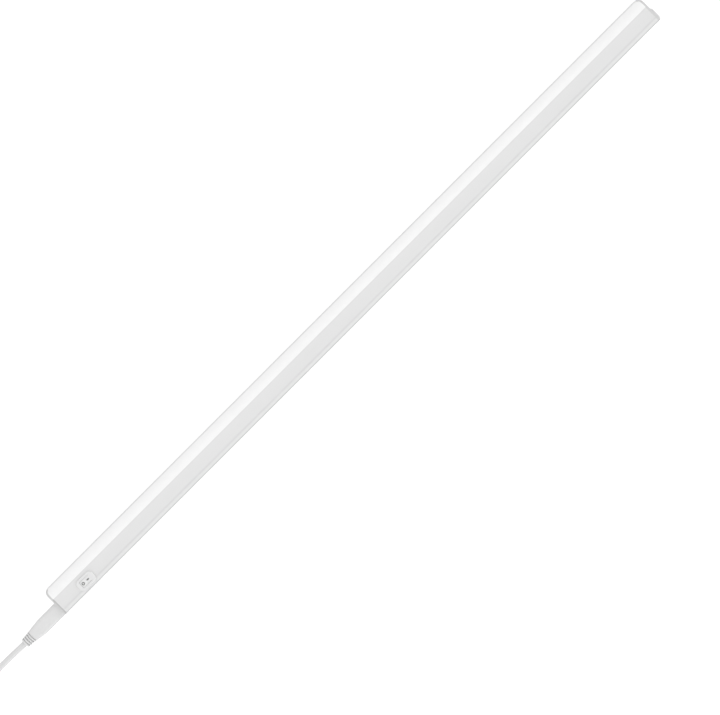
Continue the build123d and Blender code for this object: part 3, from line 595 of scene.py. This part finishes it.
@dataclass
class Studio:
    """Camera, floor, world and lights."""

    distance: float = 2.073
    front_y: float = -0.011
    aim_z: float = 0.016
    elevation: float = math.radians(1.0)
    roll: float = math.radians(45.0)
    lens: float = 100.0
    shift: tuple[float, float] = (0.0108, -0.0715)
    floor_half: float = 30.0
    overhead_place: Point = (0.0, -0.3, 1.8)
    overhead_size: tuple[float, float] = (2.4, 1.4)
    overhead_watts: float = 3.8
    surround: tuple[tuple[float, float], ...] = ((0.0, 0.85), (0.78, 0.85), (0.86, 0.04), (1.0, 0.01))
    seen_white: float = 1.2

    def camera(self) -> bpy.types.Object:
        """Camera square to the switch side, rolled so that the lamp lies on the picture's diagonal."""
        data = bpy.data.cameras.new("camera")
        data.lens = self.lens
        data.shift_x, data.shift_y = self.shift
        data.clip_start, data.clip_end = 0.01, 100.0
        data.dof.use_dof = False
        camera = add_object("camera", data)
        look = Vector((0.0, math.cos(self.elevation), -math.sin(self.elevation)))
        level_up = Vector((0.0, math.sin(self.elevation), math.cos(self.elevation)))
        along = Vector((1.0, 0.0, 0.0))
        right = along * math.cos(self.roll) - level_up * math.sin(self.roll)
        up = along * math.sin(self.roll) + level_up * math.cos(self.roll)
        place = Vector((0.0, self.front_y, self.aim_z)) - look * self.distance
        turn = Matrix((right, up, -look)).transposed().to_4x4()
        camera.matrix_world = Matrix.Translation(place) @ turn
        bpy.context.scene.camera = camera
        return camera

    def floor(self) -> None:
        """Large plain floor at the height that the lamp stands on."""
        build = bmesh.new()
        bmesh.ops.create_grid(build, x_segments=1, y_segments=1, size=self.floor_half)
        floor = mesh_object("floor", build)
        dress(floor, FLOOR)

    def world(self) -> None:
        """White surroundings, dimmer low down behind the lamp so that its edges read."""
        world = bpy.data.worlds.new("studio")
        bpy.context.scene.world = world
        world.use_nodes = True
        nodes = NodeMaker(world.node_tree)
        towards = nodes.add("ShaderNodeTexCoord", {}, {}, "Generated")
        behind = nodes.add("ShaderNodeSeparateXYZ", {}, {"Vector": towards}, "Y")
        ramp = nodes.add(
            "ShaderNodeValToRGB",
            {"stops": [(place, (grey,) * 3) for place, grey in self.surround]},
            {"Fac": behind * 0.5 + 0.5},
        )
        lighting = nodes.add("ShaderNodeBackground", {}, {"Color": ramp, "Strength": 1.0})
        seen = nodes.add("ShaderNodeBackground", {}, {"Color": (1, 1, 1, 1), "Strength": self.seen_white})
        camera_ray = nodes.add("ShaderNodeLightPath", {}, {}, "Is Camera Ray")
        mixed = nodes.add("ShaderNodeMixShader", {}, {0: camera_ray, 1: lighting, 2: seen})
        nodes.add("ShaderNodeOutputWorld", {}, {"Surface": mixed})

    def softbox(self, name: str, place: Point, aim: Point, size: tuple[float, float], watts: float) -> None:
        """One rectangular area light.

        Args:
            name: Name of the light.
            place: Where it hangs.
            aim: Point that it faces.
            size: Width and height.
            watts: Power.
        """
        data = bpy.data.lights.new(name, "AREA")
        data.shape = "RECTANGLE"
        data.size, data.size_y = size
        data.energy = watts
        light = add_object(name, data)
        facing = Vector(aim) - Vector(place)
        light.matrix_world = Matrix.Translation(place) @ facing.to_track_quat("-Z", "Y").to_matrix().to_4x4()

    def build(self) -> None:
        """Make the whole studio."""
        self.camera()
        self.floor()
        self.world()
        middle = (0.0, 0.0, 0.0)
        self.softbox("overhead", self.overhead_place, middle, self.overhead_size, self.overhead_watts)
        scene = bpy.context.scene
        scene.view_settings.view_transform = "Standard"
        scene.view_settings.look = "None"
        scene.view_settings.exposure = 0.0
        scene.view_settings.gamma = 1.0


# ---------------------------------------------------------------- lead


@dataclass
class Lead:
    """Cord of the mains lead: its free run, the hank and the tail up to the plug."""

    body: Body = Body.LEAD
    diameter: float = CORD_D
    laps: float = 5.0
    points_per_lap: int = 24
    slide: float = 0.22
    inward_at: tuple[float, float] = (0.88, 3.62)
    outward_at: tuple[float, float] = (2.64, 4.4)
    upward_at: tuple[float, float] = (1.76, 3.46)
    curve_steps: int = 6
    lead_in: list[Point] = field(
        default_factory=lambda: [
            (-0.4892, 0.0, 0.0082),
            (-0.507, -0.0002, 0.0088),
            (-0.528, -0.0016, 0.0091),
            (-0.549, -0.0054, 0.0069),
            (-0.569, -0.0094, 0.0046),
        ]
    )
    tail: list[Point] = field(
        default_factory=lambda: [
            (-0.597, -0.0109, 0.0172),
            (-0.608, -0.009, 0.0204),
            (-0.619, -0.006, 0.024),
            (-0.63, -0.0036, 0.0261),
            (-0.64, -0.003, 0.0266),
        ]
    )

    def __post_init__(self) -> None:
        """Take the hank's size and place from the frame."""
        low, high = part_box("cord_hank")
        self.middle = (low + high) / 2
        self.hank_floor = low.z
        self.outer_radius = (high.y - low.y - self.diameter) / 2
        self.inner_radius = self.outer_radius - self.diameter
        self.straight = (high.x - low.x) - (high.y - low.y)

    def _moved(self, laps: float, at: float) -> float:
        """Share of a sideways or upward step that is done.

        Args:
            laps: Laps wound so far.
            at: Laps at the middle of the step.

        Returns:
            From 0 before the step to 1 after it.
        """
        share = min(1.0, max(0.0, (laps - at) / self.slide + 0.5))
        return share * share * (3 - 2 * share)

    def hank_point(self, laps: float) -> Point:
        """Place of the cord after some laps of the hank.

        Args:
            laps: Laps wound so far, from the shoulder nearest the lamp.

        Returns:
            The point in metres.
        """
        lane = 1.0 - self._moved(laps, self.inward_at[0]) + self._moved(laps, self.outward_at[0])
        lane += self._moved(laps, self.outward_at[1]) - self._moved(laps, self.inward_at[1])
        level = self._moved(laps, self.upward_at[0]) + self._moved(laps, self.upward_at[1])
        radius = self.inner_radius + lane * self.diameter
        fold = math.pi * self.inner_radius
        gone = (laps % 1.0) * 2 * (self.straight + fold)
        half = self.straight / 2
        if gone < self.straight:
            x, y = half - gone, -radius
        elif gone < self.straight + fold:
            angle = (gone - self.straight) / self.inner_radius
            x, y = -half - radius * math.sin(angle), -radius * math.cos(angle)
        elif gone < 2 * self.straight + fold:
            x, y = gone - self.straight - fold - half, radius
        else:
            angle = (gone - 2 * self.straight - fold) / self.inner_radius
            x, y = half + radius * math.sin(angle), radius * math.cos(angle)
        z = self.hank_floor + self.diameter * (0.5 + level)
        return self.middle.x + x, self.middle.y + y, z

    def route(self) -> list[Point]:
        """Control points of the whole cord, from the connector's boot to the plug's."""
        steps = round(self.laps * self.points_per_lap)
        wound = [self.hank_point(n / self.points_per_lap) for n in range(steps + 1)]
        return [*self.lead_in, *wound, *self.tail]

    def cord(self) -> bpy.types.Object:
        """The free cord as one smooth NURBS spline."""
        data = bpy.data.curves.new("lead_cord", "CURVE")
        data.dimensions = "3D"
        spline = data.splines.new("NURBS")
        points = self.route()
        spline.points.add(len(points) - 1)
        for target, point in zip(spline.points, points, strict=True):
            target.co = (*point, 1.0)
        spline.order_u = 3
        spline.use_endpoint_u = True
        spline.resolution_u = self.curve_steps
        data.bevel_depth = self.diameter / 2
        data.bevel_resolution = self.curve_steps
        data.use_fill_caps = True
        cord = add_object("lead_cord", data)
        data.materials.append(SHEATH.make())
        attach(cord, self.body.value)
        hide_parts("mains_cord", "cord_hank", "cord_tail")
        return cord


@dataclass
class Strap:
    """Woven hook-and-loop strap round the hank, with its end lapped over on top."""

    body: Body = Body.LEAD
    thick: float = 0.0008
    corner: float = 0.0034
    lap: float = 0.026
    steps: int = 10
    lap_steps: int = 8
    edge_share: float = 0.3

    def outline(self, grow: float) -> list[tuple[float, float]]:
        """Rounded rectangle round the hank, from the middle of its top.

        Args:
            grow: Distance outwards from the strap's inner face.

        Returns:
            Points in y and z, anticlockwise.
        """
        low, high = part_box("hank_tie")
        y0, y1 = low.y + self.thick - grow, high.y - self.thick + grow
        z0, z1 = low.z + self.thick - grow, high.z - self.thick + grow
        radius = self.corner + grow
        points = [((y0 + y1) / 2, z1)]
        corners = ((y0, z1, 90.0), (y0, z0, 180.0), (y1, z0, 270.0), (y1, z1, 0.0))
        for y, z, start in corners:
            middle_y = y + radius if y == y0 else y - radius
            middle_z = z + radius if z == z0 else z - radius
            for step in range(self.steps + 1):
                angle = math.radians(start + 90.0 * step / self.steps)
                points.append((middle_y + radius * math.cos(angle), middle_z + radius * math.sin(angle)))
        return points

    def band(self, build: bmesh.types.BMesh, inner: Sequence[Any], outer: Sequence[Any], loop: bool) -> None:
        """Add a band between two outlines, as wide as the strap.

        Args:
            build: Mesh to add to.
            inner: Points of the inner face in y and z.
            outer: Points of the outer face in y and z.
            loop: Whether the band closes on itself.
        """
        low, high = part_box("hank_tie")
        edge = self.thick * self.edge_share
        sections = []
        for (ya, za), (yb, zb) in zip(inner, outer, strict=True):
            mid = ((ya + yb) / 2, (za + zb) / 2)
            places = [(low.x + edge, ya, za), (low.x, *mid), (low.x + edge, yb, zb)]
            places += [(high.x - edge, yb, zb), (high.x, *mid), (high.x - edge, ya, za)]
            sections.append([build.verts.new(place) for place in places])
        pairs = list(zip(sections, sections[1:] + sections[:1]))
        for first, second in pairs if loop else pairs[:-1]:
            for k in range(6):
                build.faces.new((first[k], first[(k + 1) % 6], second[(k + 1) % 6], second[k]))
        if not loop:
            build.faces.new(sections[0])
            build.faces.new(sections[-1][::-1])

    def build(self) -> bpy.types.Object:
        """Make the strap and put it in place of the plain one."""
        build = bmesh.new()
        self.band(build, self.outline(0.0), self.outline(self.thick), True)
        top_y, top_z = self.outline(self.thick)[0]
        ends = [top_y + self.lap * (0.5 - step / self.lap_steps) for step in range(self.lap_steps + 1)]
        self.band(build, [(y, top_z) for y in ends], [(y, top_z + self.thick) for y in ends], False)
        strap = mesh_object("hank_strap", build)
        dress(strap, STRAP)
        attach(strap, self.body.value)
        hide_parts("hank_tie")
        return strap


# ---------------------------------------------------------------- switch


@dataclass
class SwitchMarks:
    """The usual off and on marks, printed on the rocker's two facets."""

    body: Body = Body.ROCKER
    pivot: Point = (-0.3965, -0.0099, 0.0096)
    valley: float = 0.0026
    tilt: float = math.radians(8.93)
    ink: float = 0.00006
    sunk: float = 0.00006
    ring_radius: float = 0.00128
    ring_line: float = 0.00072
    ring_reach: float = -0.0042
    bar_length: float = 0.0031
    bar_line: float = 0.0012
    bar_reach: float = 0.0023
    segments: int = 40
    bar_steps: int = 12
    tip_share: float = 0.05

    def facet(self, reach: float) -> Matrix:
        """Frame of a place on a facet.

        Args:
            reach: Distance from the valley along the facet, negative on the raised half.

        Returns:
            Matrix whose X runs along the facet, Y up the lamp and Z out of the face.
        """
        slope = 2 * self.tilt if reach < 0 else 0.0
        along = Vector((math.cos(slope), math.sin(slope), 0.0))
        out = Vector((math.sin(slope), -math.cos(slope), 0.0))
        valley = Vector((math.sin(self.tilt), -math.cos(self.tilt), 0.0)) * self.valley
        place = Vector(self.pivot) + valley + along * reach
        turn = Matrix((along, Vector((0.0, 0.0, 1.0)), out)).transposed().to_4x4()
        return Matrix.Translation(place) @ turn

    def ring(self) -> list[list[Point]]:
        """Sections of the off mark's ring."""
        inner, outer = self.ring_radius - self.ring_line / 2, self.ring_radius + self.ring_line / 2
        sections = []
        for step in range(self.segments):
            angle = math.tau * step / self.segments
            x, y = math.cos(angle), math.sin(angle)
            corners = ((inner, -self.sunk), (outer, -self.sunk), (outer, self.ink), (inner, self.ink))
            sections.append([(x * radius, y * radius, z) for radius, z in corners])
        return sections

    def bar(self) -> list[list[Point]]:
        """Sections of the on mark's bar, round at both ends."""
        half, radius = (self.bar_length - self.bar_line) / 2, self.bar_line / 2
        sections = []
        for step in range(self.bar_steps + 1):
            angle = math.pi * (step / self.bar_steps - 0.5)
            at_middle = step == self.bar_steps // 2
            x = 0.0 if at_middle else math.copysign(half, math.sin(angle))
            x += radius * math.sin(angle)
            y = radius if at_middle else max(radius * math.cos(angle), self.tip_share * radius)
            sections.append([(x, -y, -self.sunk), (x, y, -self.sunk), (x, y, self.ink), (x, -y, self.ink)])
        return sections

    def solid(self, name: str, sections: list[list[Point]], loop: bool, reach: float) -> bpy.types.Object:
        """Skin a row of sections on a facet.

        Args:
            name: Name of the piece.
            sections: Four corners of each section.
            loop: Whether the last section joins the first.
            reach: Place along the facet.

        Returns:
            The mark.
        """
        build = bmesh.new()
        rows = [[build.verts.new(corner) for corner in section] for section in sections]
        pairs = list(zip(rows, rows[1:] + rows[:1]))
        for first, second in pairs if loop else pairs[:-1]:
            for k in range(4):
                build.faces.new((first[k], first[(k + 1) % 4], second[(k + 1) % 4], second[k]))
        if not loop:
            build.faces.new(rows[0])
            build.faces.new(rows[-1][::-1])
        build.transform(self.facet(reach))
        mark = mesh_object(name, build, smooth=False)
        dress(mark, MARK)
        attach(mark, self.body.value)
        return mark

    def build(self) -> list[bpy.types.Object]:
        """Make both marks."""
        off_mark = self.solid("off_mark", self.ring(), True, self.ring_reach)
        return [off_mark, self.solid("on_mark", self.bar(), False, self.bar_reach)]


# ---------------------------------------------------------------- repeats


class Repeat:
    """A piece repeated by Geometry Nodes, then kept as a plain mesh."""

    def __init__(self, name: str, inputs: dict[str, tuple[str, Any]]) -> None:
        """Start an empty node group with named inputs.

        Args:
            name: Name of the group and of the piece.
            inputs: Input name, then its socket type and value.
        """
        self.name = name
        self.group = bpy.data.node_groups.new(name, "GeometryNodeTree")
        self.group.interface.new_socket("Geometry", in_out="OUTPUT", socket_type="NodeSocketGeometry")
        self.values = {}
        for label, (kind, value) in inputs.items():
            made = self.group.interface.new_socket(label, in_out="INPUT", socket_type=kind)
            self.values[made.identifier] = value
        self.start = self.group.nodes.new("NodeGroupInput")

    def node(self, kind: str, settings: dict[str, Any], links: dict[str, Any]) -> bpy.types.Node:
        """Add one node.

        Args:
            kind: Node type.
            settings: Properties of the node.
            links: Input name, and the output socket or value that feeds it.

        Returns:
            The node.
        """
        node = self.group.nodes.new(kind)
        for name, value in settings.items():
            setattr(node, name, value)
        for name, value in links.items():
            if isinstance(value, bpy.types.NodeSocket):
                self.group.links.new(value, node.inputs[name])
            else:
                node.inputs[name].default_value = value
        return node

    def finish(self, geometry: bpy.types.NodeSocket, finish: Finish) -> bpy.types.Object:
        """Realize the copies, run the group and keep its mesh.

        Args:
            geometry: Output socket of the last node.
            finish: Finish of the piece.

        Returns:
            The piece, without its modifier.
        """
        real = self.node("GeometryNodeRealizeInstances", {}, {"Geometry": geometry})
        painted = self.node(
            "GeometryNodeSetMaterial", {}, {"Geometry": real.outputs[0], "Material": finish.make()}
        )
        end = self.group.nodes.new("NodeGroupOutput")
        self.group.links.new(painted.outputs[0], end.inputs[0])
        piece = add_object(self.name, bpy.data.meshes.new(self.name + "_seed"))
        modifier = piece.modifiers.new(self.name, "NODES")
        modifier.node_group = self.group
        for identifier, value in self.values.items():
            modifier[identifier] = value
        bpy.context.view_layer.update()
        seen = piece.evaluated_get(bpy.context.evaluated_depsgraph_get())
        data = bpy.data.meshes.new_from_object(seen)
        piece.modifiers.clear()
        piece.data = data
        data.name = self.name
        return piece


@dataclass
class Winding:
    """Turns of enamelled wire on the drum core."""

    wire: float = 0.0005
    body: Body = Body.LAMP
    loop_sides: int = 64
    wire_sides: int = 8

    def build(self) -> bpy.types.Object:
        """Make the turns in place of the plain winding."""
        low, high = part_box("inductor_winding")
        turns = int((high.z - low.z) / self.wire)
        repeat = Repeat(
            "inductor_turns",
            {
                "Turns": ("NodeSocketInt", turns),
                "Radius": ("NodeSocketFloat", (high.x - low.x - self.wire) / 2),
                "Wire": ("NodeSocketFloat", self.wire / 2),
            },
        )
        given = repeat.start.outputs
        sockets = {"Resolution": self.loop_sides, "Radius": given["Radius"]}
        loop = repeat.node("GeometryNodeCurvePrimitiveCircle", {}, sockets)
        sockets = {"Resolution": self.wire_sides, "Radius": given["Wire"]}
        section = repeat.node("GeometryNodeCurvePrimitiveCircle", {}, sockets)
        sockets = {"Curve": loop.outputs["Curve"], "Profile Curve": section.outputs["Curve"]}
        turn = repeat.node("GeometryNodeCurveToMesh", {}, sockets)
        pitch = (high.z - low.z) / turns
        middle = (low + high) / 2
        start = (middle.x, middle.y, low.z + pitch / 2)
        sockets = {"Count": given["Turns"], "Start Location": start, "Offset": (0.0, 0.0, pitch)}
        row = repeat.node("GeometryNodeMeshLine", {}, sockets)
        sockets = {"Points": row.outputs["Mesh"], "Instance": turn.outputs["Mesh"]}
        copies = repeat.node("GeometryNodeInstanceOnPoints", {}, sockets)
        piece = repeat.finish(copies.outputs["Instances"], COPPER)
        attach(piece, self.body.value)
        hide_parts("inductor_winding")
        return piece


def main() -> None:
    """Build every part of the look in order."""
    logging.basicConfig(level=logging.INFO, format="%(name)s: %(message)s")
    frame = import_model()
    Studio().build()
    log.info("studio: camera, floor, world and light")
    nodes = frame["nodes"]
    for finish, names in NODE_FINISHES.items():
        for name in names:
            dress(nodes[name], finish)
        log.info("%s: %s", finish.name, ", ".join(names))
    lead = Lead()
    cord = lead.cord()
    log.info("%s: %d control points", cord.name, len(lead.route()))
    strap = Strap().build()
    log.info("%s: %d faces", strap.name, len(strap.data.polygons))
    for mark in SwitchMarks().build():
        log.info("%s: %d faces", mark.name, len(mark.data.polygons))
    winding = Winding().build()
    log.info("%s: %d faces", winding.name, len(winding.data.polygons))


if __name__ == "__main__":
    main()
